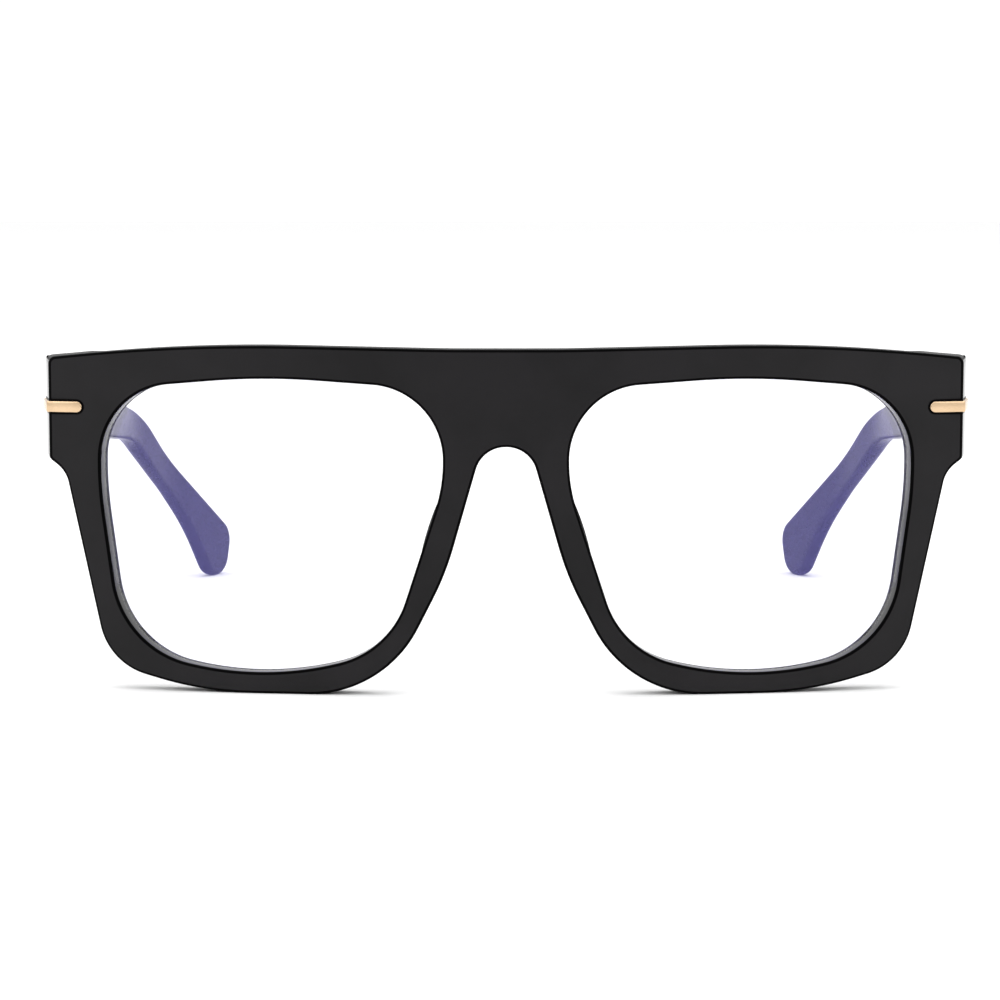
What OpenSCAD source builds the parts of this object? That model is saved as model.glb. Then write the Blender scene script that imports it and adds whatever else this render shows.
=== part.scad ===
// Full-rim acetate glasses with flat clear lenses and two folding temples.
// X runs across the face, Y from the front to the temple tips, Z up. The wearer looks along -Y,
// so the wearer's left side is +X. The glasses stand on the two lower rims and the two tips.

/* [Lenses] */
// Width of one lens opening
lens_w = 54.6; // [48:0.2:66]
// Height of one lens opening
lens_h = 46.7; // [39:0.1:56]
// Gap between the two lens openings across the nose
bridge_w = 20; // [16:0.5:24]
// Thickness of a lens
lens_t = 2; // [1.6:0.1:2.6]
// Depth of the lens's middle behind the front's face
lens_set = 2.85; // [2.2:0.05:3]
// Depth of the groove in the rim that holds the lens bevel
groove_d = 0.8; // [0.5:0.1:1.2]
// Width of the lens bevel
bevel_w = 0.9; // [0.6:0.1:1.2]

/* [Front] */
// Radius of the front's curve, seen from above
face_r = 295; // [240:5:400]
// Thickness of the front
rim_t = 4.5; // [3.6:0.1:5.5]
// Height of the brow above the lens
brow_w = 5.4; // [4:0.05:8]
// Height of the rim below the lens
rim_low = 3.25; // [2:0.05:4]
// Width of the end-piece beside the lens
end_w = 7.9; // [7.2:0.1:10]
// Height of the end-piece
end_h = 16.1; // [13.5:0.1:17.5]
// Thickness of the end-piece at its outer edge
end_t = 5.5; // [4.8:0.1:7]
// How far the side of the end-piece flares out from its front edge to the joint
end_flare = 1.2; // [0:0.1:2]
// How far the nose pads stand out behind the rims
pad_t = 4.2; // [3:0.1:6]

/* [Temples] */
// Length of the temple from the joint to the ear bend
temple_len = 95; // [78:0.5:115]
// Length of the hook behind the ear bend, seen from the side
hook_len = 37.7; // [30:0.1:46]
// Thickness of the temple
temple_t = 4.2; // [3.6:0.1:5]
// Thickness of the temple behind the ear bend
tip_t = 3; // [2.8:0.1:4]
// How far the temple's upper edge falls from the joint to the ear bend
temple_drop = 17.2; // [12:0.1:22]
// How far the temple splays outwards at the ear bend
splay = 1; // [0:0.1:4]
// How far the tip turns in behind the head
tip_in = 15; // [8:0.5:18]
// Diameter of the metal core wire
core_w = 1.4; // [1:0.1:1.8]

/* [Hinges] */
// Radius of the hinge barrels
barrel_r = 1.5; // [1.3:0.05:1.9]
// Height of one of the five barrels
barrel_h = 1.9; // [1.5:0.05:2.2]
// Radius of the hinge screw
screw_r = 0.7; // [0.55:0.05:0.9]
// Thickness of the hinge plates
plate_t = 0.8; // [0.6:0.1:1.2]
// Length of the hinge plate on the temple
plate_len = 9; // [7:0.5:12]
// Radius of the rivets that hold the hinge plates
rivet_r = 0.55; // [0.4:0.05:0.6]

/* [Metal bars] */
// Height of the metal bar across the joint
bar_h = 1.8; // [1.7:0.1:3]
// Length of the bar on the front
bar_front = 5.4; // [4.6:0.1:7]
// Length of the bar on the temple
bar_temple = 14; // [10:0.5:20]
// How far a bar stands out of the acetate
bar_proud = 0.4; // [0.2:0.05:0.6]
// How deep a bar is let into the acetate
bar_inlay = 0.5; // [0.3:0.1:0.8]

/* [Clearances] */
// Gap between the front and a temple at the joint
joint_gap = 0.1; // [0.05:0.05:0.2]
// Radial clearance of the screw in the temple's barrels
screw_gap = 0.05; // [0.02:0.01:0.08]
// Gap between neighbouring barrels
barrel_gap = 0.08; // [0.04:0.02:0.16]
// Gap between the barrels and what they turn past
swing_gap = 0.2; // [0.1:0.05:0.4]
// Gap round the lens bevel in its groove
lens_gap = 0.05; // [0.02:0.01:0.1]

/* [Hidden] */

LEFT = 1;
RIGHT = -1;

// Colours
acetate = "#2b292c";
clear = [0.86, 0.88, 0.98, 0.35];
steel = "silver";
gold = "#edd0aa";

// How far an arc's chords may stand off the true arc
arc_tol = 0.02;
// More than the object's size, for cuts that go right through
far = 200;

// Lines of the front, as distances from the middle and heights above the floor
nasal_x = bridge_w / 2;
outer_x = nasal_x + lens_w;
lens_z = rim_low;
lens_top = lens_z + lens_h;
side_x = outer_x + end_w;
joint_x = side_x + end_flare;
end_top = lens_top + 2.9;
end_low = end_top - end_h;
mid_z = end_top - 0.485 * end_h;

// Depths behind the front's foremost line
joint_y0 = face_r - sqrt(face_r * face_r - side_x * side_x) + end_t;
total_y = joint_y0 + temple_len + hook_len;
front_y = -total_y / 2;
joint_y = front_y + joint_y0;
lens_mid = face_r - lens_set;

// Hinge
hinge_h = 5 * barrel_h;
hinge_z = mid_z - hinge_h / 2;
temple_x = joint_x - temple_t;
axis_x = temple_x - barrel_r - swing_gap;
axis_y = joint_y + barrel_r + swing_gap;
web_w = barrel_r;
plate_x0 = axis_x - web_w / 2 - 0.1;
plate_x1 = joint_x - 1.4;
rivet_head = 1.5 * rivet_r;
rivet_x = [axis_x + web_w / 2 + rivet_r + 0.05, plate_x1 - 0.8 - rivet_r];
rivet_y = [axis_y + 2.4, axis_y + plate_len - 1.6];
head_r = screw_r + 0.45;
head_h = 0.7;
thread_bite = 0.04;
slot_w = 0.3;
slot_h = 0.3;
// Ring round a front rivet's head that also lies below the curved floor of the bar's pocket, so the
// head's rim never just touches that floor
seat_gap = 0.08;
block_x = outer_x + 0.65;
block_low = end_low - 1.5;
// Rounding of the end-piece's upper corner, which the flared side keeps clear of
end_round = 1.2;

// Rounded outlines: each corner is [x, y, radius], and neighbouring arcs that would meet share the side
function unit(v) = v / norm(v);
function side(pts, i) = pts[(i + len(pts)) % len(pts)];
function place(p) = [p.x, p.y];
function half_angle(pts, i) =
    let (p = place(side(pts, i)),
         u = unit(place(side(pts, i - 1)) - p),
         w = unit(place(side(pts, i + 1)) - p))
    acos(u * w) / 2;
function cut_len(pts, i) = side(pts, i)[2] / tan(half_angle(pts, i));
function share(pts, i) =
    let (run = norm(place(side(pts, i + 1)) - place(side(pts, i))),
         used = cut_len(pts, i) + cut_len(pts, i + 1))
    used > 0.98 * run ? 0.98 * run / used : 1;
function corner_r(pts, i) = side(pts, i)[2] * min(share(pts, i - 1), share(pts, i));
function corner(pts, i) =
    let (p = place(side(pts, i)),
         u = unit(place(side(pts, i - 1)) - p),
         w = unit(place(side(pts, i + 1)) - p),
         half = acos(u * w) / 2,
         r = corner_r(pts, i))
    r <= 0 ? [p] :
    let (c = p + unit(u + w) * r / sin(half),
         s = p + u * r / tan(half) - c,
         turn = (u.x * w.y - u.y * w.x > 0 ? -1 : 1) * (180 - 2 * half),
         steps = max(1, ceil(abs(turn) / (2 * acos(1 - min(0.5, arc_tol / r))))))
    [for (k = [0:steps])
        let (a = turn * k / steps)
        c + [s.x * cos(a) - s.y * sin(a), s.x * sin(a) + s.y * cos(a)]];
function rounded(pts) = [for (i = [0:len(pts) - 1]) each corner(pts, i)];

// A path moved sideways by d, to its left
function normal(a, b) = let (u = unit(place(b) - place(a))) [-u.y, u.x];
function shift(pts, d) = [for (i = [0:len(pts) - 1])
    let (n1 = normal(pts[max(i - 1, 0)], pts[max(i, 1)]),
         n2 = normal(pts[min(i, len(pts) - 2)], pts[min(i + 1, len(pts) - 1)]),
         p = place(pts[i]) + (n1 + n2) * d / (1 + n1 * n2),
         turn = sign(n1.x * n2.y - n1.y * n2.x))
    [p.x, p.y, max(0, pts[i][2] - turn * d)]];
function grown(pts, d) = [for (i = [0:len(pts) - 1])
    let (n1 = normal(side(pts, i - 1), side(pts, i)),
         n2 = normal(side(pts, i), side(pts, i + 1)),
         p = place(pts[i]) + (n1 + n2) * d / (1 + n1 * n2))
    [p.x, p.y, pts[i][2] + d]];
function reversed(pts) = [for (i = [len(pts) - 1:-1:0]) pts[i]];
function strip(pts, w) = concat(shift(pts, w / 2), reversed(shift(pts, -w / 2)));

// Opening for the wearer's left lens, clockwise from the top
lens_corners = [
    [nasal_x + 0.515 * lens_w, lens_top + 0.25, 110],
    [outer_x - 0.5, lens_top - 2.1, 18],
    [outer_x - 0.3, lens_z + 0.62 * lens_h, 90],
    [outer_x - 3.7, lens_z + 3.4, 19.5],
    [nasal_x + 0.515 * lens_w, lens_z - 1.15, 68],
    [nasal_x + 8.4, lens_z + 3.8, 19.5],
    [nasal_x - 0.1, lens_z + 0.64 * lens_h, 25],
    [nasal_x - 0.1, lens_top - 1.65, 12.3]
];

// Outer edge of the front, from the middle of the brow round to the arch over the nose
arch_z = lens_top - 10.6;
brow_dip = 0.75;
half_front = [
    [nasal_x - 1, lens_top + brow_w - brow_dip, 200],
    [outer_x - 13.2, lens_top + brow_w, 280],
    [side_x, end_top, end_round],
    [side_x, end_low, 1],
    [side_x - 2.5, end_low - 1.9, 5],
    [outer_x - 1.2, lens_z + 0.9, 10],
    [outer_x - 16.6, 0, 58],
    [nasal_x + 9.3, 0, 19.5],
    [nasal_x - 0.45, lens_z + 0.34 * lens_h, 45],
    [nasal_x - 6.3, arch_z, 5]
];

// Nose pad, seen from the front
pad_z = lens_z + 0.46 * lens_h;
pad_corners = [
    [nasal_x - 3.1, pad_z + 8.6, 1.5],
    [nasal_x + 1.3, pad_z + 8.2, 2.5],
    [nasal_x + 4.9, pad_z - 7.6, 2.5],
    [nasal_x + 1.4, pad_z - 9, 1.5]
];

// Temple from the side: distance behind the joint, height
bend_z = end_top - temple_drop;
tip_y = temple_len + hook_len;
temple_side = [
    [0, end_top, 0.4],
    [temple_len, bend_z, 30],
    [tip_y, 8.4, 4.5],
    [tip_y - 2.2, 0, 4],
    [tip_y - 7.8, 0, 4],
    [tip_y - 18, 14.8, 60],
    [temple_len - 4, bend_z - 4.9, 18],
    [temple_len / 2 - 2, end_low - 1.4, 200],
    [0, end_low, 0.4]
];

// Inner face of the temple from above: distance from the middle, distance behind the joint
temple_plan = [
    [temple_x, 0, 0],
    [temple_x, plate_len + 6.5, 60],
    [temple_x + splay, temple_len - 5, 50],
    [temple_x + splay - 0.32 * tip_in, temple_len + 14, 60],
    [temple_x + splay - tip_in, tip_y - 1, 0]
];

// The temple's plan moved out by d, and by tip_d behind the ear bend
function offset_plan(d, tip_d) = [for (i = [0:4]) shift(temple_plan, i < 3 ? -d : -tip_d)[i]];

// Core wire from the side, below the rivets and then along the middle of the hook
core_side = [
    [1, mid_z - 3, 0],
    [temple_len - 1, bend_z - 2.6, 26],
    [tip_y - 5, 7.5, 0]
];

// A solid with a curved back: everything behind a front curve of radius r
module behind(r) translate([0, front_y + face_r, -far / 2]) cylinder(r = r, h = far, $fn = 720);
module layer(r_out, r_in) difference() {
    behind(r_out);
    behind(r_in);
}

// An outline in X and Z, given depth from y0 to y1
module upright(y0, y1) translate([0, y1, 0]) rotate([90, 0, 0]) linear_extrude(y1 - y0) children();
// An outline in Y and Z, given width from x0 to x1
module sideways(x0, x1) translate([x0, joint_y, 0]) rotate([90, 0, 90]) linear_extrude(x1 - x0) children();
// An outline in X and Y, given height from z0 to z1
module level(z0, z1) translate([0, joint_y, z0]) linear_extrude(z1 - z0) children();

module on_side(s) {
    if (s == LEFT) children();
    else mirror([1, 0, 0]) children();
}
module both_sides() {
    children();
    mirror([1, 0, 0]) children();
}

module bar_outline(x0, x1) {
    translate([x0 + bar_h / 2, mid_z]) circle(d = bar_h, $fn = 48);
    translate([x0 + bar_h / 2, mid_z - bar_h / 2]) square([x1 - x0 - bar_h / 2, bar_h]);
}

module rivet(len) {
    cylinder(r = rivet_r, h = len, $fn = 36);
    cylinder(r1 = rivet_head, r2 = rivet_r, h = rivet_r, $fn = 36);
}

// Rivets from the bar's seat to the back of the front's hinge plate
module front_rivet_pair() {
    for (x = rivet_x) {
        seat_x = x + rivet_head + seat_gap;
        seat_y = front_y + face_r - sqrt(pow(face_r - bar_inlay, 2) - pow(seat_x, 2));
        translate([x, seat_y, mid_z]) rotate([-90, 0, 0]) rivet(joint_y - seat_y);
    }
}

// Rivets from the bar's seat to the inner side of the temple's hinge plate
module temple_rivet_pair() {
    for (y = rivet_y)
        translate([joint_x - bar_inlay, y, mid_z]) rotate([0, -90, 0]) rivet(temple_t - bar_inlay);
}

// Everything inside the flared side of the end-piece, moved out by d
module within_side(d) {
    y0 = front_y - 1;
    x0 = joint_x - (joint_y - y0) * end_flare / end_t;
    translate([0, 0, -far / 2]) linear_extrude(far)
        polygon([[0, y0], [x0 + d, y0], [joint_x + d, joint_y], [0, joint_y]]);
}

// The bar on the front lies on its face and folds round the corner to the joint
module front_bar() {
    difference() {
        intersection() {
            upright(front_y - 1, joint_y) bar_outline(side_x - bar_front, joint_x + 1);
            behind(face_r + bar_proud);
            within_side(bar_proud);
        }
        intersection() {
            behind(face_r - bar_inlay);
            within_side(-bar_inlay);
        }
    }
}

module temple_bar() {
    y0 = joint_gap;
    y1 = bar_temple;
    sideways(joint_x - bar_inlay, joint_x + bar_proud) {
        translate([y0, mid_z - bar_h / 2]) square([y1 - y0 - bar_h / 2, bar_h]);
        translate([y1 - bar_h / 2, mid_z]) circle(d = bar_h, $fn = 48);
    }
}

module front_plate()
    translate([plate_x0, joint_y - plate_t, hinge_z]) cube([plate_x1 - plate_x0, plate_t, hinge_h]);

module temple_plate()
    translate([temple_x, axis_y - web_w / 2, hinge_z])
        cube([plate_t, plate_len + web_w / 2, hinge_h]);

module bevel_ridge(gap) {
    intersection() {
        upright(front_y - 1, joint_y) polygon(rounded(grown(lens_corners, groove_d - gap)));
        layer(lens_mid + bevel_w / 2 - gap, lens_mid - bevel_w / 2 + gap);
    }
}

module front_frame() {
    half = rounded(concat([[0, lens_top + brow_w - brow_dip, 0]], half_front, [[0, arch_z, 0]]));
    color(acetate) difference() {
        intersection() {
            union() {
                upright(front_y - 1, joint_y)
                    polygon(concat(half, [for (p = reversed(half)) if (p.x > 0) [-p.x, p.y]]));
                both_sides() intersection() {
                    within_side(0);
                    translate([side_x - 2, front_y, end_low + end_round])
                        cube([far, far, end_h - 2 * end_round]);
                }
            }
            behind(face_r);
        }
        difference() {
            behind(face_r - rim_t);
            both_sides() translate([block_x, front_y, block_low]) cube([far, far, far]);
        }
        both_sides() {
            upright(front_y - 1, joint_y + 1) polygon(rounded(lens_corners));
            bevel_ridge(0);
            front_plate();
            front_bar();
            front_rivet_pair();
        }
    }
}

module lens(s) {
    color(clear) on_side(s) union() {
        intersection() {
            upright(front_y - 1, joint_y) polygon(rounded(grown(lens_corners, -lens_gap)));
            layer(lens_mid + lens_t / 2, lens_mid - lens_t / 2);
        }
        bevel_ridge(lens_gap);
    }
}

// Bonded to the back of the nasal rim, its back rounded in a tall arc
module nose_pad(s) {
    arc_r = 11.5;
    face_y = front_y + rim_t;
    color(acetate) on_side(s) intersection() {
        upright(front_y, joint_y) polygon(rounded(pad_corners));
        behind(face_r - rim_t);
        translate([0, face_y + pad_t - arc_r, pad_z]) rotate([0, 90, 0])
            cylinder(r = arc_r, h = far, $fn = 180);
    }
}

// Three barrels on a plate let into the back of the end-piece; the screw's thread bites in the lowest
module hinge_front(s) {
    color(steel) on_side(s) difference() {
        union() {
            front_plate();
            for (k = [0, 2, 4]) translate([0, 0, hinge_z + k * barrel_h]) {
                translate([axis_x, axis_y, 0]) cylinder(r = barrel_r, h = barrel_h, $fn = 64);
                translate([axis_x - web_w / 2, joint_y - plate_t / 2, 0])
                    cube([web_w, axis_y - joint_y + plate_t / 2, barrel_h]);
            }
        }
        translate([axis_x, axis_y, hinge_z + barrel_h]) cylinder(r = screw_r, h = hinge_h, $fn = 48);
        translate([axis_x, axis_y, hinge_z - 1]) cylinder(r = screw_r - thread_bite, h = hinge_h, $fn = 48);
        translate([axis_x, axis_y, hinge_z + hinge_h - head_h]) cylinder(r = head_r, h = hinge_h, $fn = 48);
        front_rivet_pair();
    }
}

// Two barrels between the front's three, on a plate let into the temple's inner face
module hinge_temple(s) {
    color(steel) on_side(s) difference() {
        union() {
            temple_plate();
            for (k = [1, 3]) translate([0, 0, hinge_z + k * barrel_h + barrel_gap]) {
                translate([axis_x, axis_y, 0])
                    cylinder(r = barrel_r, h = barrel_h - 2 * barrel_gap, $fn = 64);
                translate([axis_x, axis_y - web_w / 2, 0])
                    cube([temple_x + plate_t / 2 - axis_x, web_w, barrel_h - 2 * barrel_gap]);
            }
        }
        translate([axis_x, axis_y, 0]) cylinder(r = screw_r + screw_gap, h = far, $fn = 48);
        temple_rivet_pair();
    }
}

module hinge_screw(s) {
    color(steel) on_side(s) translate([axis_x, axis_y, hinge_z]) difference() {
        union() {
            cylinder(r = screw_r, h = hinge_h - head_h / 2, $fn = 48);
            translate([0, 0, hinge_h - head_h]) cylinder(r = head_r - 0.02, h = head_h, $fn = 48);
        }
        translate([-head_r, -slot_w / 2, hinge_h - slot_h]) cube([2 * head_r, slot_w, head_h]);
    }
}

module front_rivets(s) color(steel) on_side(s) front_rivet_pair();
module temple_rivets(s) color(steel) on_side(s) temple_rivet_pair();
module accent_front(s) color(gold) on_side(s) front_bar();
module accent_temple(s) color(gold) on_side(s) temple_bar();

// The metal core, pushed into the temple from its front end
module core_shape() {
    intersection() {
        sideways(0, far) polygon(rounded(strip(core_side, core_w)));
        level(0, far) polygon(rounded(strip(offset_plan(temple_t / 2, tip_t / 2), core_w)));
    }
}
module core_wire(s) color(steel) on_side(s) core_shape();

module temple(s) {
    plan = concat(temple_plan, reversed(offset_plan(temple_t, tip_t)));
    tipped = [for (i = [0:len(plan) - 1])
        [plan[i].x, plan[i].y, i == 4 || i == 5 ? tip_t * 0.4 : plan[i][2]]];
    color(acetate) on_side(s) difference() {
        intersection() {
            sideways(0, far) polygon(rounded(temple_side));
            level(0, far) polygon(rounded(tipped));
        }
        translate([0, joint_y - 1, 0]) cube([far, 1 + joint_gap, far]);
        core_shape();
        temple_plate();
        temple_bar();
        temple_rivet_pair();
    }
}

front_frame();
lens(LEFT);  // lens_left
lens(RIGHT);  // lens_right
nose_pad(LEFT);  // nose_pad_left
nose_pad(RIGHT);  // nose_pad_right
hinge_front(LEFT);  // hinge_front_left
hinge_front(RIGHT);  // hinge_front_right
front_rivets(LEFT);  // front_rivets_left
front_rivets(RIGHT);  // front_rivets_right
accent_front(LEFT);  // accent_front_left
accent_front(RIGHT);  // accent_front_right
hinge_screw(LEFT);  // hinge_screw_left
hinge_screw(RIGHT);  // hinge_screw_right
temple(LEFT);  // temple_left
temple(RIGHT);  // temple_right
core_wire(LEFT);  // core_wire_left
core_wire(RIGHT);  // core_wire_right
hinge_temple(LEFT);  // hinge_temple_left
hinge_temple(RIGHT);  // hinge_temple_right
temple_rivets(LEFT);  // temple_rivets_left
temple_rivets(RIGHT);  // temple_rivets_right
accent_temple(LEFT);  // accent_temple_left
accent_temple(RIGHT);  // accent_temple_right
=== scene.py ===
import bpy
import bmesh
import math
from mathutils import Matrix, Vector


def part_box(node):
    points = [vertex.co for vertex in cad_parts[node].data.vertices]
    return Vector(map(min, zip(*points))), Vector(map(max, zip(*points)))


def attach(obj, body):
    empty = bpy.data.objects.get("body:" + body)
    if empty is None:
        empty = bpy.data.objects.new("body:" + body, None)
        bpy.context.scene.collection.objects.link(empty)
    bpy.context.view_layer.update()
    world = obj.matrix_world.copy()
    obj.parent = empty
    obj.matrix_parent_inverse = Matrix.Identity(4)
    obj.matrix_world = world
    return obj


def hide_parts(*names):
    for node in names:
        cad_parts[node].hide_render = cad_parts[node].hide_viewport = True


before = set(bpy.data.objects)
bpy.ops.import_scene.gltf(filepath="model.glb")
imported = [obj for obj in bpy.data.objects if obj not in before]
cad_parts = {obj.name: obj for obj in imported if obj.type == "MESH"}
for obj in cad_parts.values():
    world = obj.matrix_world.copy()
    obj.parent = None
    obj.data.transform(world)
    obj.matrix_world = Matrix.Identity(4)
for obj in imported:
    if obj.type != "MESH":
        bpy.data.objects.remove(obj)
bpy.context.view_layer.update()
mm = 0.001
sides = {"left": 1, "right": -1}  # the wearer's left is +X
weldGap = 1e-6  # metres
nearlyFlat = math.radians(0.8)
print("frame loaded:", len(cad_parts), "nodes")


# Places taken from the frame, in millimetres like every setting below

def boxMm(node):
    low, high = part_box(node)
    return low / mm, high / mm


frontLow, frontHigh = boxMm("front_frame")
plateHigh = boxMm("hinge_temple_left")[1]
frontY = frontLow.y
jointY = frontHigh.y
jointX = frontHigh.x
barLow, barHigh = boxMm("accent_temple_left")
midZ = (barLow.z + barHigh.z) / 2


# Outlines. A corner is (across, up, radius), and arcs that would meet share the side between them

def roundCorners(corners, tolerance=0.004, longest=1.5):
    count = len(corners)
    spots = [Vector(c[:2]) for c in corners]
    legs = [((spots[i - 1] - p).normalized(), (spots[(i + 1) % count] - p).normalized())
            for i, p in enumerate(spots)]
    half = [math.acos(max(-1, min(1, u.dot(w)))) / 2 for u, w in legs]
    cut = [c[2] / math.tan(h) for c, h in zip(corners, half)]
    share = []
    for i in range(count):
        run = 0.98 * (spots[(i + 1) % count] - spots[i]).length
        used = cut[i] + cut[(i + 1) % count]
        share.append(min(1, run / used) if used > 0 else 1)
    path = []
    for i, p in enumerate(spots):
        r = corners[i][2] * min(share[i - 1], share[i])
        if r <= 0:
            path.append(p)
            continue
        u, w = legs[i]
        centre = p + (u + w).normalized() * r / math.sin(half[i])
        start = p + u * r / math.tan(half[i]) - centre
        turn = math.copysign(math.pi - 2 * half[i], w.x * u.y - w.y * u.x)
        steps = max(1, math.ceil(abs(turn) / (2 * math.acos(1 - min(0.5, tolerance / r)))))
        for k in range(steps + 1):
            a = turn * k / steps
            path.append(centre + Vector((start.x * math.cos(a) - start.y * math.sin(a),
                                         start.x * math.sin(a) + start.y * math.cos(a))))
    return spaced(path, longest)


def spaced(path, longest):
    out = []
    for i, p in enumerate(path):
        q = path[(i + 1) % len(path)]
        pieces = max(1, math.ceil((q - p).length / longest))
        out += [p.lerp(q, k / pieces) for k in range(pieces)]
    return [p for i, p in enumerate(out) if (p - out[i - 1]).length > 1e-4]


def lookup(value, table):
    # table is a rising list of (value, result)
    if value <= table[0][0]:
        return table[0][1]
    for (a, ra), (b, rb) in zip(table, table[1:]):
        if value <= b:
            return ra + (rb - ra) * (value - a) / max(b - a, 1e-9)
    return table[-1][1]


def smooth(value, low, high):
    t = max(0.0, min(1.0, (value - low) / (high - low)))
    return t * t * (3 - 2 * t)


# Finishing steps that every piece shares

def everything(bm):
    return bm.verts[:] + bm.edges[:] + bm.faces[:]


def sharpEdges(bm, degrees=38, wanted=lambda e: True):
    limit = math.radians(degrees)
    return [e for e in bm.edges if e.is_manifold and e.calc_face_angle(0) > limit and wanted(e)]


def softenEdges(bm, edges, width, segments, clamp=False):
    return bmesh.ops.bevel(bm, geom=edges, offset=width, offset_type="OFFSET", affect="EDGES",
                           segments=segments, profile=0.5, material=-1, clamp_overlap=clamp)


def finishPiece(bm, name, body, materials, nodes, side=1, unit=mm):
    bmesh.ops.scale(bm, verts=bm.verts, vec=(side * unit, unit, unit))
    bmesh.ops.remove_doubles(bm, verts=bm.verts, dist=1e-7)
    bmesh.ops.recalc_face_normals(bm, faces=bm.faces)
    for f in bm.faces:
        f.smooth = True
    for e in sharpEdges(bm, 42):
        e.smooth = False
    openEdges = sum(1 for e in bm.edges if not e.is_manifold)
    mesh = bpy.data.meshes.new(name)
    bm.to_mesh(mesh)
    bm.free()
    for m in materials:
        mesh.materials.append(m)
    piece = bpy.data.objects.new(name, mesh)
    bpy.context.scene.collection.objects.link(piece)
    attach(piece, body)
    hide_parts(*nodes)
    print(name, "faces:", len(mesh.polygons), "open edges:", openEdges)
    return piece


# Materials

def newMaterial(name, settings):
    material = bpy.data.materials.new(name)
    material.use_nodes = True
    nodes = material.node_tree.nodes
    links = material.node_tree.links
    shader = nodes["Principled BSDF"]
    for socket, value in settings.items():
        shader.inputs[socket].default_value = value
    return material, nodes, links, shader


def noise(nodes, links, scale, detail=3.0, stretch=(1, 1, 1)):
    place = nodes.new("ShaderNodeTexCoord")
    turned = nodes.new("ShaderNodeMapping")
    turned.inputs["Scale"].default_value = stretch
    texture = nodes.new("ShaderNodeTexNoise")
    texture.inputs["Scale"].default_value = scale
    texture.inputs["Detail"].default_value = detail
    links.new(place.outputs["Object"], turned.inputs["Vector"])
    links.new(turned.outputs["Vector"], texture.inputs["Vector"])
    return texture.outputs["Fac"]


def blendColours(nodes, links, factor, dark, light, low=0.35, high=0.65):
    ramp = nodes.new("ShaderNodeValToRGB")
    ramp.color_ramp.elements[0].position = low
    ramp.color_ramp.elements[0].color = (*dark, 1)
    ramp.color_ramp.elements[1].position = high
    ramp.color_ramp.elements[1].color = (*light, 1)
    links.new(factor, ramp.inputs["Fac"])
    return ramp.outputs["Color"]


def spread(nodes, links, factor, low, high):
    ranged = nodes.new("ShaderNodeMapRange")
    ranged.inputs["From Min"].default_value = 0.3
    ranged.inputs["From Max"].default_value = 0.7
    ranged.inputs["To Min"].default_value = low
    ranged.inputs["To Max"].default_value = high
    links.new(factor, ranged.inputs["Value"])
    return ranged.outputs["Result"]


def relief(nodes, links, factor, strength, distance):
    bump = nodes.new("ShaderNodeBump")
    bump.inputs["Strength"].default_value = strength
    bump.inputs["Distance"].default_value = distance
    links.new(factor, bump.inputs["Height"])
    return bump.outputs["Normal"]


def acetate(name, look):
    material, nodes, links, shader = newMaterial(name, {
        "Specular IOR Level": look["specular"], "Coat Weight": look["coat"], "Coat Roughness": 0.04})
    cloud = noise(nodes, links, look["cloudScale"], 2.0)
    grain = noise(nodes, links, look["grainScale"], 4.0)
    links.new(blendColours(nodes, links, cloud, look["dark"], look["light"]), shader.inputs["Base Color"])
    links.new(spread(nodes, links, grain, *look["roughness"]), shader.inputs["Roughness"])
    links.new(relief(nodes, links, grain, look["grainDepth"], 0.00002), shader.inputs["Normal"])
    return material


def metal(name, look):
    material, nodes, links, shader = newMaterial(name, {"Metallic": 1.0})
    tarnish = noise(nodes, links, look["tintScale"], 2.0)
    brushed = noise(nodes, links, look["brushScale"], 3.0, look["brushStretch"])
    links.new(blendColours(nodes, links, tarnish, look["dark"], look["light"]), shader.inputs["Base Color"])
    links.new(spread(nodes, links, brushed, *look["roughness"]), shader.inputs["Roughness"])
    links.new(relief(nodes, links, brushed, look["brushDepth"], 0.00001), shader.inputs["Normal"])
    return material


def coatedLens(name, look):
    material, nodes, links, shader = newMaterial(name, {
        "Metallic": look["metallic"], "Roughness": look["roughness"]})
    facing = nodes.new("ShaderNodeLayerWeight")
    facing.inputs["Blend"].default_value = 0.35
    tint = blendColours(nodes, links, facing.outputs["Facing"], look["centre"], look["edge"], 0.0, 1.0)
    links.new(tint, shader.inputs["Base Color"])
    # painted reflection: the coat's alpha, and with it its blue mirror reflection, is painted weaker
    # towards the nose by distance across (X), so the nasal part of the lens is nearly clear
    place = nodes.new("ShaderNodeTexCoord")
    split = nodes.new("ShaderNodeSeparateXYZ")
    across = nodes.new("ShaderNodeMath")
    across.operation = "ABSOLUTE"
    fade = nodes.new("ShaderNodeMapRange")
    fade.inputs["From Min"].default_value = look["fadeFrom"] * mm
    fade.inputs["From Max"].default_value = look["fadeTo"] * mm
    fade.inputs["To Min"].default_value = look["paintedNasalAlpha"]
    fade.inputs["To Max"].default_value = look["alpha"]
    links.new(place.outputs["Object"], split.inputs["Vector"])
    links.new(split.outputs["X"], across.inputs[0])
    links.new(across.outputs["Value"], fade.inputs["Value"])
    links.new(fade.outputs["Result"], shader.inputs["Alpha"])
    return material


def clearEdge(name, look):
    material, nodes, links, shader = newMaterial(name, {
        "Roughness": look["roughness"], "Alpha": look["alpha"], "Specular IOR Level": 0.3})
    grind = noise(nodes, links, look["grindScale"], 2.0)
    links.new(blendColours(nodes, links, grind, look["dark"], look["light"]), shader.inputs["Base Color"])
    return material


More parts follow.
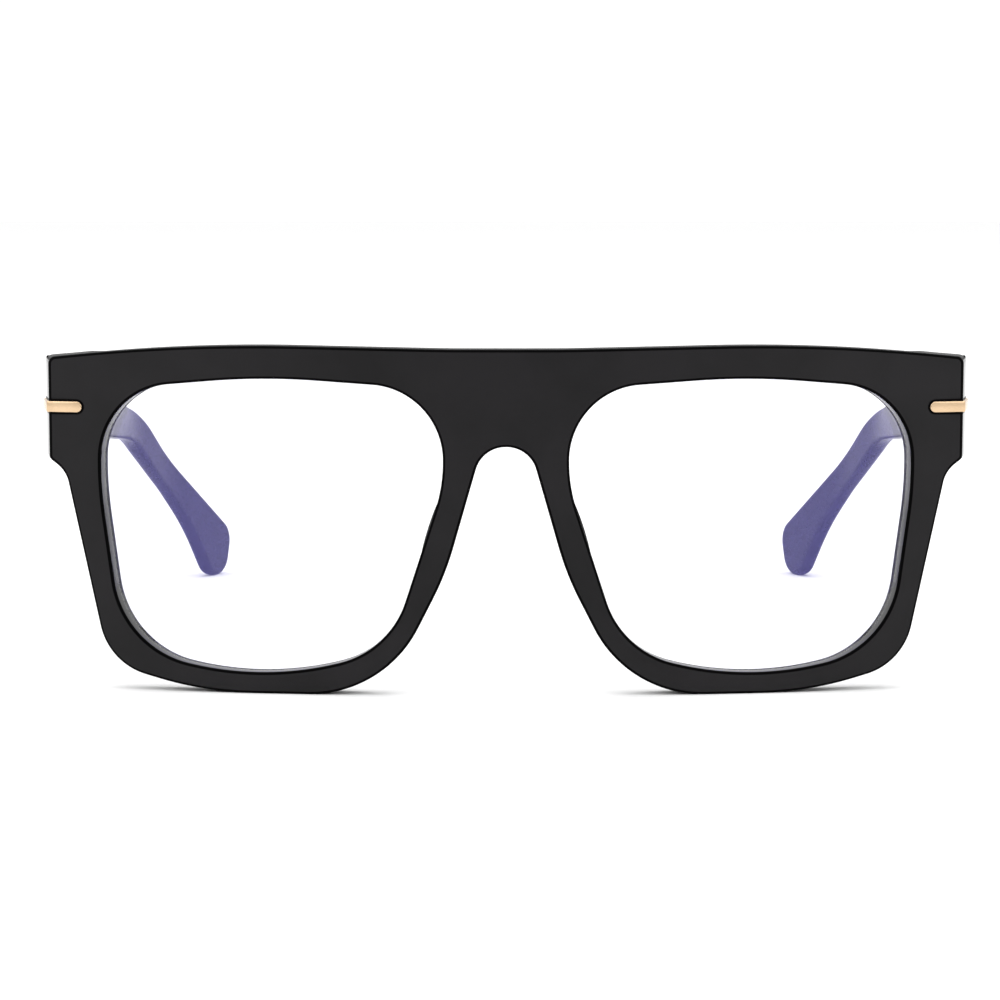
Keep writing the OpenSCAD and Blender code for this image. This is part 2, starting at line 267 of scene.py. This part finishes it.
satinAcetate = acetate("satin_black_acetate", {
    "dark": (0.0062, 0.0058, 0.0064), "light": (0.0092, 0.0084, 0.0095), "cloudScale": 90.0,
    "grainScale": 2600.0, "grainDepth": 0.12, "roughness": (0.36, 0.46), "specular": 0.17, "coat": 0.0})
# painted shade: a near-black copy of the acetate that barely reflects, for the softened front edges and the
# band round the gold bars, standing in for the dark lines that shade and dark reflections draw there
paintedShadeAcetate = acetate("painted_shade_black_acetate", {
    "dark": (0.0006, 0.0006, 0.0007), "light": (0.0012, 0.0011, 0.0013), "cloudScale": 90.0,
    "grainScale": 1500.0, "grainDepth": 0.03, "roughness": (0.30, 0.38), "specular": 0.02, "coat": 0.0})
wallAcetate = acetate("polished_black_wall", {
    "dark": (0.0020, 0.0019, 0.0021), "light": (0.0034, 0.0032, 0.0036), "cloudScale": 90.0,
    "grainScale": 1500.0, "grainDepth": 0.02, "roughness": (0.08, 0.13), "specular": 0.5, "coat": 0.2})
templeAcetate = acetate("gloss_black_acetate", {
    "dark": (0.0030, 0.0028, 0.0034), "light": (0.0052, 0.0048, 0.0058), "cloudScale": 70.0,
    "grainScale": 1800.0, "grainDepth": 0.01, "roughness": (0.26, 0.30), "specular": 0.065, "coat": 0.0})
padAcetate = acetate("gloss_black_pad", {
    "dark": (0.0030, 0.0028, 0.0034), "light": (0.0050, 0.0046, 0.0056), "cloudScale": 160.0,
    "grainScale": 2400.0, "grainDepth": 0.03, "roughness": (0.08, 0.14), "specular": 0.5, "coat": 0.2})
paleGold = metal("pale_gold", {
    "dark": (0.61, 0.44, 0.275), "light": (0.67, 0.485, 0.31), "tintScale": 300.0, "brushScale": 900.0,
    "brushStretch": (1, 1, 6), "brushDepth": 0.08, "roughness": (0.20, 0.28)})
satinSteel = metal("satin_steel", {
    "dark": (0.50, 0.50, 0.51), "light": (0.62, 0.62, 0.63), "tintScale": 250.0, "brushScale": 1200.0,
    "brushStretch": (1, 1, 8), "brushDepth": 0.15, "roughness": (0.26, 0.38)})
rivetSteel = metal("peened_steel", {
    "dark": (0.44, 0.43, 0.43), "light": (0.60, 0.60, 0.60), "tintScale": 900.0, "brushScale": 2200.0,
    "brushStretch": (1, 1, 1), "brushDepth": 0.3, "roughness": (0.22, 0.40)})
coreSteel = metal("drawn_core_wire", {
    "dark": (0.48, 0.48, 0.47), "light": (0.58, 0.58, 0.56), "tintScale": 200.0, "brushScale": 700.0,
    "brushStretch": (8, 1, 8), "brushDepth": 0.2, "roughness": (0.28, 0.42)})
# painted reflection: the coat's blue reflection is painted weaker towards the nose, between fadeFrom and
# fadeTo millimetres across
lensCoat = coatedLens("blue_filter_lens", {
    "metallic": 1.0, "alpha": 0.085, "paintedNasalAlpha": 0.008, "fadeFrom": 14.0, "fadeTo": 34.0, "roughness": 0.03,
    "centre": (0.38, 0.35, 1.0), "edge": (0.40, 0.35, 0.95)})
lensEdge = clearEdge("clear_lens_edge", {
    "dark": (0.55, 0.55, 0.56), "light": (0.68, 0.68, 0.69), "grindScale": 1500.0,
    "alpha": 0.05, "roughness": 0.25})
print("materials made:", len(bpy.data.materials))


# Bodies swept round an outline: rings of points, each set in from the outline and at its own depth

def inward(path):
    # the direction into the shape at each point, stretched so that an offset keeps the sides parallel
    turned = sum(path[i - 1].cross(p) for i, p in enumerate(path))
    flip = 1 if turned > 0 else -1
    arrows = []
    for i, p in enumerate(path):
        u = (p - path[i - 1]).normalized()
        w = (path[(i + 1) % len(path)] - p).normalized()
        n = Vector((-(u.y + w.y), u.x + w.x)) * flip
        arrows.append(n / max(0.5, 1 + u.dot(w)))
    return arrows


def roundedEdge(radius, steps, start, sign, lip=0.15):
    # (inset, depth) from the face down to the wall, or back up again for the other face
    turn = [k * math.pi / 2 / steps for k in range(steps + 1)]
    rows = [(radius * (1 - math.sin(a)), start + sign * radius * (1 - math.cos(a))) for a in turn]
    return [(radius + lip, start)] + rows


def sweptRings(bm, path, rows):
    # rows gives (inset, depth) for every ring, as one table or as a rule for each point
    arrows = inward(path)
    tables = [rows(p, n) if callable(rows) else rows for p, n in zip(path, arrows)]
    rings = []
    for k in range(len(tables[0])):
        rings.append([bm.verts.new((p.x + n.x * t[k][0], t[k][1], p.y + n.y * t[k][0]))
                      for p, n, t in zip(path, arrows, tables)])
    for r, q in zip(rings, rings[1:]):
        for i in range(len(path)):
            bm.faces.new((r[i - 1], r[i], q[i], q[i - 1]))
    return rings


def loopEdges(bm, verts, closed=True):
    first = 0 if closed else 1
    return [bm.edges.get((verts[i - 1], verts[i])) or bm.edges.new((verts[i - 1], verts[i]))
            for i in range(first, len(verts))]


def fillFlat(bm, edges):
    return bmesh.ops.triangle_fill(bm, edges=edges, use_beauty=True, use_dissolve=False,
                                   normal=(0, 1, 0))["geom"]


def sliceAlong(bm, axis, places, snap=0.03):
    for place in places:
        spot = [0, 0, 0]
        way = [0, 0, 0]
        spot[axis], way[axis] = place, 1
        bmesh.ops.bisect_plane(bm, geom=everything(bm), dist=snap, plane_co=spot, plane_no=way)


# The front: both rims, the bridge and the end-pieces, drawn flat and then bent round the face

front = {
    "bridge": 20.0, "lensWide": 54.6, "lensTall": 46.7, "lensLow": 3.25, "brow": 5.4, "browDip": 0.75,
    "endWide": 7.9, "endTall": 16.1, "curve": 295.0, "thick": 4.5, "edge": 0.42, "backEdge": 0.6,
    "edgeSteps": 4, "seat": 0.06, "sideEdge": 0.22, "blockBlend": 1.4, "grooveDeep": 0.8, "grooveWide": 1.0,
    "lensBack": 2.85, "relief": 1.1, "flareFrom": 66.0, "strip": 3.0, "stripOffset": 0.01,
    "wallRound": 1.2, "wallCut": 0.35, "climbLead": 0.3, "station": 1.2,
}
nasalX = front["bridge"] / 2
outerX = nasalX + front["lensWide"]
lensZ = front["lensLow"]
lensTop = lensZ + front["lensTall"]
sideX = outerX + front["endWide"]
endTop = lensTop + 2.9
endLow = endTop - front["endTall"]
archZ = lensTop - 10.6
blockX = outerX + 0.65
blockLow = endLow - 1.5


def lensCorners():
    wide, tall = front["lensWide"], front["lensTall"]
    return [
        (nasalX + 0.515 * wide, lensTop + 0.25, 110), (outerX - 0.5, lensTop - 2.1, 18),
        (outerX - 0.3, lensZ + 0.62 * tall, 90), (outerX - 3.7, lensZ + 3.4, 19.5),
        (nasalX + 0.515 * wide, lensZ - 1.15, 68), (nasalX + 8.4, lensZ + 3.8, 19.5),
        (nasalX - 0.1, lensZ + 0.64 * tall, 25), (nasalX - 0.1, lensTop - 1.65, 12.3)]


def halfFront():
    tall = front["lensTall"]
    top = lensTop + front["brow"]
    return [
        (nasalX - 1, top - front["browDip"], 200),
        (outerX - 13.2, top, 280), (sideX, endTop, 1.2), (sideX, endLow, 1),
        (sideX - 2.5, endLow - 1.9, 5), (outerX - 1.2, lensZ + 0.9, 10), (outerX - 16.6, 0, 58),
        (nasalX + 9.3, 0, 19.5), (nasalX - 0.45, lensZ + 0.34 * tall, 45),
        (nasalX - 6.3, archZ, 5)]


def wholeFront():
    half = halfFront()
    return roundCorners(half + [(-x, z, r) for x, z, r in reversed(half)], longest=front["station"])


def bent(x, depth, z):
    radius = front["curve"]
    turn = math.asin(x / radius)
    return Vector(((radius - depth) * math.sin(turn),
                   frontY + radius - (radius - depth) * math.cos(turn), z))


def isBlock(x, z):
    return abs(x) > blockX and z > blockLow


def outlineRows(p, n):
    # a softened front edge, the wall, and a back edge; the thick end-pieces run on to the joint
    s = front
    rows = roundedEdge(s["edge"], s["edgeSteps"], 0, 1)
    radius, back = s["backEdge"], s["thick"]
    if isBlock(p.x, p.y):
        back = 2 * s["thick"]
        radius = s["sideEdge"] + (s["backEdge"] - s["sideEdge"]) * abs(n.normalized().y)
    return rows + roundedEdge(radius, s["edgeSteps"], back, -1)[::-1]


def openingRows():
    # insets go into the rim: the groove for the lens bevel, and a relieved edge behind it
    s = front
    middle = s["lensBack"]
    half = s["grooveWide"] / 2
    rows = roundedEdge(s["edge"], s["edgeSteps"], 0, 1)
    rows += [(0, middle - half), (s["grooveDeep"], middle), (s["relief"] / 2, middle + half)]
    back = roundedEdge(s["relief"], s["edgeSteps"], s["thick"], -1)[::-1]
    return [(-inset, depth) for inset, depth in rows + back[1:]]


def squareWall(bm, ring, path, side):
    # the wall where the thick end-piece rises from the back of the rim
    count = len(path)
    steps = [(i, (i + 1) % count) for i in range(count)]
    turns = [(i, j) for i, j in steps
             if isBlock(path[i].x, path[i].y) != isBlock(path[j].x, path[j].y) and path[i].x * side > 0]
    turns = [(i, j) if isBlock(path[j].x, path[j].y) else (j, i) for i, j in turns]
    turns.sort(key=lambda t: -path[t[0]].y)
    (topLow, topHigh), (endLowSpot, endHighSpot) = turns
    wide, cut = front["wallRound"], front["wallCut"]
    corner = [(side * blockX, blockLow + wide), (side * (blockX + cut), blockLow + cut),
              (side * (blockX + wide), blockLow)]
    lowPath, highPath = [[start] + [bm.verts.new((x, depth, z)) for x, z in corner] + [end]
                         for start, depth, end in (
                             (ring[topLow], front["thick"], ring[endLowSpot]),
                             (ring[topHigh], 2 * front["thick"], ring[endHighSpot]))]
    for k in range(1, len(lowPath)):
        bm.faces.new((lowPath[k - 1], lowPath[k], highPath[k], highPath[k - 1]))
    return lowPath, highPath


def flatFront():
    bm = bmesh.new()
    path = wholeFront()
    outer = sweptRings(bm, path, outlineRows)
    openings = []
    for side in sides.values():
        hole = [Vector((side * p.x, p.y)) for p in roundCorners(lensCorners(), longest=front["station"])]
        openings.append(sweptRings(bm, hole, openingRows()))
    fillFlat(bm, loopEdges(bm, outer[0]) + [e for o in openings for e in loopEdges(bm, o[0])])
    back = outer[-1]
    low = {i for i, p in enumerate(path) if not isBlock(p.x, p.y)}
    backEdges = [e for o in openings for e in loopEdges(bm, o[-1])]
    for i in range(len(path)):
        if i in low and (i - 1) % len(path) in low:
            backEdges.append(bm.edges.get((back[i - 1], back[i])))
    for side in sides.values():
        lowPath, highPath = squareWall(bm, back, path, side)
        backEdges += loopEdges(bm, lowPath, False)
        rim = [bm.edges.get((back[i - 1], back[i])) for i in range(len(path))
               if i not in low and (i - 1) % len(path) not in low and path[i].x * side > 0]
        fillFlat(bm, rim + loopEdges(bm, highPath, False))
    fillFlat(bm, backEdges)
    count = int(sideX / front["strip"])
    sliceAlong(bm, 0, [k * front["strip"] + front["stripOffset"] for k in range(-count, count + 1)])
    return bm


def bendFront(bm):
    s = front
    for v in bm.verts:
        x, depth, z = v.co
        side = math.copysign(1, x)
        x = abs(x)
        raised = max(0, depth - s["thick"])
        spot = bent(x, min(depth, s["thick"]), z)
        if raised > 0:
            # the raised part climbs to the joint's flat plane, in a short slope next to the lens
            climb = raised / s["thick"] * smooth(
                x, blockX - s["climbLead"], blockX + s["blockBlend"])
            spot.y += climb * (jointY - s["seat"] - spot.y)
            spot.x += climb * (x - spot.x)
        faceY = bent(x, 0, z).y
        share = max(0, (spot.y - faceY) / (jointY - faceY))
        flare = (jointX - sideX) * share * smooth(x, s["flareFrom"], sideX)
        near = smooth(x, s["flareFrom"], sideX - 1) * smooth(z, endLow - 4, endLow)
        spot.x = spot.x + near * (x + flare - spot.x)
        v.co = Vector((side * spot.x, spot.y, spot.z))


def frontSurface(f):
    # 0 satin faces, 1 softened edges in the painted shade material (near black, barely reflecting, for the
    # dark edge lines), 2 polished sides and walls of the openings
    c = f.calc_center_median()
    if abs(f.normal.y) > 0.999:
        return 0
    isWall = abs(f.normal.y) < 0.05
    inOpening = nasalX - 0.5 < abs(c.x) < outerX + 0.2 and (c - nearestCentre(c)).dot(f.normal) < 0
    onSide = abs(c.x) > sideX - 0.1
    return 2 if (isWall and onSide) or (inOpening and (isWall or c.y > front["thick"] / 2)) else 1


def nearestCentre(c):
    side = math.copysign(1, c.x)
    return Vector((side * (nasalX + front["lensWide"] / 2), c.y, lensZ + front["lensTall"] / 2))


def buildFront():
    bm = flatFront()
    bmesh.ops.recalc_face_normals(bm, faces=bm.faces)
    for f in bm.faces:
        f.material_index = frontSurface(f)
    bendFront(bm)
    finishPiece(bm, "front", "front", [satinAcetate, paintedShadeAcetate, wallAcetate], ["front_frame"])


buildFront()


# Lenses: a flat blank cut to the opening, with a ridge round its edge, bent with the front

lens = {
    "thick": 2.0, "gap": 0.05, "ridge": 0.65, "ridgeHalf": 0.5, "strip": 2.5, "edge": 0.15, "lip": 0.4,
    "station": 1.5,
}


def buildLens(name):
    s = lens
    bm = bmesh.new()
    path = roundCorners(lensCorners(), longest=s["station"])
    wall = s["gap"]
    half = s["thick"] / 2
    rows = [(wall + s["lip"], 0), (wall + s["edge"], 0), (wall, s["edge"]),
            (wall, half - s["ridgeHalf"]), (wall - s["ridge"], half)]
    rows += [(inset, 2 * half - depth) for inset, depth in rows[-2::-1]]
    rings = sweptRings(bm, path, rows)
    fillFlat(bm, loopEdges(bm, rings[0]))
    fillFlat(bm, loopEdges(bm, rings[-1]))
    count = int(front["lensWide"] / s["strip"])
    sliceAlong(bm, 0, [nasalX + (k + 0.5) * s["strip"] for k in range(count)])
    lead = front["lensBack"] - s["thick"] / 2
    bmesh.ops.recalc_face_normals(bm, faces=bm.faces)
    for f in bm.faces:
        f.material_index = 0 if abs(f.normal.y) > 0.99 else 1
    for v in bm.verts:
        v.co = bent(v.co.x, v.co.y + lead, v.co.z)
    finishPiece(bm, "lens_" + name + "_coated", "front", [lensCoat, lensEdge],
                ["lens_" + name], sides[name])


for sideName in sides:
    buildLens(sideName)


# Nose pads: a drop bonded to the back of the nasal rim

pad = {
    "middleUp": 0.46, "halfTall": 9.0, "halfWide": 2.15, "lean": -0.245, "middleAcross": 0.75,
    "deep": 4.2, "sunk": 1.4, "fuller": 0.16, "taper": 0.12,
}


def buildPad(name):
    s = pad
    middle = lensZ + s["middleUp"] * front["lensTall"]
    bm = bmesh.new()
    bmesh.ops.create_uvsphere(bm, u_segments=48, v_segments=32, radius=1)
    for v in bm.verts:
        across, back, up = v.co
        wide = s["halfWide"] * (1 - s["fuller"] * up)
        x = nasalX + s["middleAcross"] + s["lean"] * s["halfTall"] * up + wide * across
        reach = (s["deep"] + s["sunk"]) if back > 0 else s["sunk"] / 2
        depth = front["thick"] - s["sunk"] + reach * back * (1 - s["taper"] * up)
        v.co = bent(x, depth, middle + s["halfTall"] * up)
    finishPiece(bm, "nose_pad_" + name + "_moulded", "front", [padAcetate],
                ["nose_pad_" + name], sides[name])


for sideName in sides:
    buildPad(sideName)


# Temples: a flat blade cut to its side outline, softened, and bent to its plan

temple = {
    "long": 95.0, "hook": 37.7, "thick": 4.2, "tipThick": 3.0, "drop": 17.2, "splay": 1.0, "tipIn": 15.0,
    "innerEdge": 0.9, "outerEdge": 2.4, "endEdge": 0.2, "edgeSteps": 6, "station": 2.0,
    "stationOffset": 0.013, "skin": 0.05, "gap": 0.1, "step": 0.5, "thinsOver": 19.0,
}
bendZ = endTop - temple["drop"]
tipY = temple["long"] + temple["hook"]
templeX = jointX - temple["thick"]


def templeSide():
    long = temple["long"]
    return [
        (temple["gap"], endTop, 0.4), (long, bendZ, 30), (tipY, 8.4, 4.5), (tipY - 2.2, 0, 4),
        (tipY - 7.8, 0, 4), (tipY - 18, 14.8, 60), (long - 4, bendZ - 4.9, 18),
        (long / 2 - 2, endLow - 1.4, 200), (temple["gap"], endLow, 0.4)]


def templePlan():
    # the blade's inner face from above, as a table of distance behind the joint to distance from the middle
    straight = plateHigh.y - jointY + 6.5
    tipX = templeX + temple["splay"] - temple["tipIn"]
    widest = templeX + temple["splay"]
    corners = [(0, templeX, 0), (straight, templeX, 60), (temple["long"] - 5, widest, 50),
               (temple["long"] + 14, widest - 0.32 * temple["tipIn"], 60), (tipY, tipX, 0),
               (tipY, 0, 0), (0, 0, 0)]
    path = roundCorners(corners, tolerance=0.0005, longest=2.0)
    return sorted((p.x, p.y) for p in path if p.y > tipX - 1e-3)


def templeRows(p, n):
    # nearly square at the joint, where it meets the end-piece, and well rounded further back
    s = temple
    inner = lookup(p.x, [(s["gap"] + 0.4, s["endEdge"]), (5, 0.6), (14, s["innerEdge"])])
    outer = lookup(p.x, [(s["gap"] + 0.4, s["endEdge"]), (5, 0.7), (14, 1.2), (s["long"], s["outerEdge"])])
    rows = roundedEdge(inner, s["edgeSteps"], 0, 1)
    return rows + roundedEdge(outer, s["edgeSteps"], s["thick"], -1)[::-1]


def buildTemple(name):
    s = temple
    bm = bmesh.new()
    path = roundCorners(templeSide(), tolerance=0.003, longest=2.0)
    rings = sweptRings(bm, path, templeRows)
    fillFlat(bm, loopEdges(bm, rings[0]))
    fillFlat(bm, loopEdges(bm, rings[-1]))
    stations = range(1, int(tipY / s["station"]))
    sliceAlong(bm, 0, [k * s["station"] + s["stationOffset"] for k in stations])
    plan = templePlan()
    bendY = s["long"] - 5
    for v in bm.verts:
        along, across, up = v.co
        here, ahead = lookup(along, plan), lookup(along + s["step"], plan)
        slant = math.hypot(s["step"], ahead - here) / s["step"]
        thick = lookup(along, [(bendY, s["thick"]), (bendY + s["thinsOver"], s["tipThick"])])
        share = s["skin"] + across / s["thick"] * (thick - 2 * s["skin"])
        v.co = Vector((here + share * slant, jointY + along, up))
    body = "temple_l" if name == "left" else "temple_r"
    finishPiece(bm, "temple_" + name + "_blade", body, [templeAcetate],
                ["temple_" + name], sides[name])


for sideName in sides:
    buildTemple(sideName)


# Metal: softened copies of the hinge leaves, screws, rivets and bars, which keep their exact fit

metalParts = {
    "hinge_front": ("front", "hinge_steel", satinSteel, 0.09),
    "hinge_screw": ("front", "screw_steel", satinSteel, 0.06),
    "front_rivets": ("front", "rivet_steel", rivetSteel, 0.07),
    "accent_front": ("front", "gold", paleGold, 0.22),
    "hinge_temple": ("temple", "hinge_steel", satinSteel, 0.09),
    "temple_rivets": ("temple", "rivet_steel", rivetSteel, 0.07),
    "accent_temple": ("temple", "gold", paleGold, 0.22),
}
# sizes of the painted shadow band round each gold bar
seat = {"wide": 0.3, "proud": 0.03, "stand": 0.4, "corner": 0.2, "frontEnd": 0.08, "templeEnd": 0.18}


def addPaintedShadowBand(bm, part, name):
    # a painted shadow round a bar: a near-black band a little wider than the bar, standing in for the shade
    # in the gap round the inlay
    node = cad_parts[part + "_" + name]
    made = bmesh.new()
    made.from_mesh(node.data)
    bmesh.ops.remove_doubles(made, verts=made.verts, dist=weldGap)
    bmesh.ops.dissolve_limit(made, angle_limit=nearlyFlat, verts=made.verts, edges=made.edges)
    low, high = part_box(part + "_" + name)
    tall = (high.z - low.z) / mm
    inwards = (seat["stand"] - seat["proud"]) * mm
    onFront = part == "accent_front"
    for v in made.verts:
        v.co.z = midZ * mm + (v.co.z - midZ * mm) * (tall + 2 * seat["wide"]) / tall
        x = abs(v.co.x) / mm
        if onFront and x < sideX - seat["corner"]:
            nearEnd = max(0, 1 - (x - abs(low.x if name == "left" else high.x) / mm) / (tall / 2))
            spot = x - seat["wide"] * nearEnd
            v.co.x = sides[name] * spot * mm
            v.co.y += inwards + (bent(spot, 0, 0).y - bent(x, 0, 0).y) * mm
        else:
            v.co.x -= sides[name] * inwards
        if onFront:
            v.co.y = min(v.co.y, (jointY - seat["frontEnd"]) * mm)
        elif v.co.y > (low.y + high.y) / 2:
            v.co.y += seat["wide"] * mm
        else:
            v.co.y = max(v.co.y, (jointY + seat["templeEnd"]) * mm)
    copies = {v: bm.verts.new(v.co) for v in made.verts}
    for f in made.faces:
        bm.faces.new([copies[v] for v in f.verts]).material_index = 1
    made.free()


def buildMetal(part, name):
    body, slot, material, width = metalParts[part]
    if body == "temple":
        body = "temple_l" if name == "left" else "temple_r"
    node = part + "_" + name
    bm = bmesh.new()
    bm.from_mesh(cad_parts[node].data)
    bmesh.ops.remove_doubles(bm, verts=bm.verts, dist=weldGap)
    bmesh.ops.dissolve_limit(bm, angle_limit=nearlyFlat, verts=bm.verts, edges=bm.edges)
    softenEdges(bm, sharpEdges(bm, 35), width * mm, 3, True)
    # the gold bars get a painted shadow band round them
    if slot == "gold":
        addPaintedShadowBand(bm, part, name)
    finishPiece(bm, node + "_finished", body, [material, paintedShadeAcetate], [node], 1, 1)


for part in metalParts:
    for sideName in sides:
        buildMetal(part, sideName)
for sideName in sides:
    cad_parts["core_wire_" + sideName].data.materials.clear()
    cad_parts["core_wire_" + sideName].data.materials.append(coreSteel)
print("metal parts made")


# Floor, light and camera

camera = {"back": 491.0, "height": 86.35, "tilt": 6.42, "lens": 113.8, "shift": -0.006}
studio = {
    "floorHalf": 3.0, "sky": 1.05, "cardWide": 0.17, "cardTall": 0.12, "cardBack": 110.0, "cardUp": 0.15,
    "aim": 0.03,
    "lights": (("top_box", (0, 0.1, 1.2), 1.2, 9), ("left_box", (-1.0, -0.7, 0.7), 0.7, 3),
               ("right_box", (1.0, -0.7, 0.7), 0.7, 3)),
}


def buildPlane(name, halfWide, halfDeep):
    bm = bmesh.new()
    bmesh.ops.create_grid(bm, x_segments=1, y_segments=1, size=1)
    bmesh.ops.scale(bm, verts=bm.verts, vec=(halfWide, halfDeep, 1))
    mesh = bpy.data.meshes.new(name)
    bm.to_mesh(mesh)
    bm.free()
    plane = bpy.data.objects.new(name, mesh)
    bpy.context.scene.collection.objects.link(plane)
    return plane


def buildStudio():
    floor = buildPlane("floor", studio["floorHalf"], studio["floorHalf"])
    paper, nodes, links, shader = newMaterial("white_paper", {"Roughness": 0.9, "Specular IOR Level": 0.1})
    shader.inputs["Base Color"].default_value = (0.93, 0.93, 0.93, 1)
    floor.data.materials.append(paper)
    world = bpy.data.worlds.new("studio")
    bpy.context.scene.world = world
    world.use_nodes = True
    world.node_tree.nodes["Background"].inputs["Color"].default_value = (1, 1, 1, 1)
    world.node_tree.nodes["Background"].inputs["Strength"].default_value = studio["sky"]
    card = buildPlane("dark_card", studio["cardWide"], studio["cardTall"])
    card.location = (0, (frontY - camera["back"] - studio["cardBack"]) * mm, studio["cardUp"])
    card.rotation_euler = (math.radians(90), 0, 0)
    black = newMaterial("black_cloth", {"Roughness": 1.0, "Specular IOR Level": 0.0})[0]
    black.node_tree.nodes["Principled BSDF"].inputs["Base Color"].default_value = (0.004, 0.004, 0.004, 1)
    card.data.materials.append(black)
    for name, place, size, power in studio["lights"]:
        light = bpy.data.lights.new(name, "AREA")
        light.size = size
        light.energy = power
        lamp = bpy.data.objects.new(name, light)
        lamp.location = place
        towards = Vector((0, 0, studio["aim"])) - Vector(place)
        lamp.rotation_euler = towards.to_track_quat("-Z", "Y").to_euler()
        bpy.context.scene.collection.objects.link(lamp)


def placeCamera():
    data = bpy.data.cameras.new("camera")
    data.lens = camera["lens"]
    data.sensor_width = 36
    data.shift_x = camera["shift"]
    data.clip_start = 0.01
    rig = bpy.data.objects.new("camera", data)
    rig.location = (0, (frontY - camera["back"]) * mm, camera["height"] * mm)
    rig.rotation_euler = (math.radians(90 - camera["tilt"]), 0, 0)
    bpy.context.scene.collection.objects.link(rig)
    bpy.context.scene.camera = rig
    bpy.context.scene.view_settings.view_transform = "Standard"


buildStudio()
placeCamera()
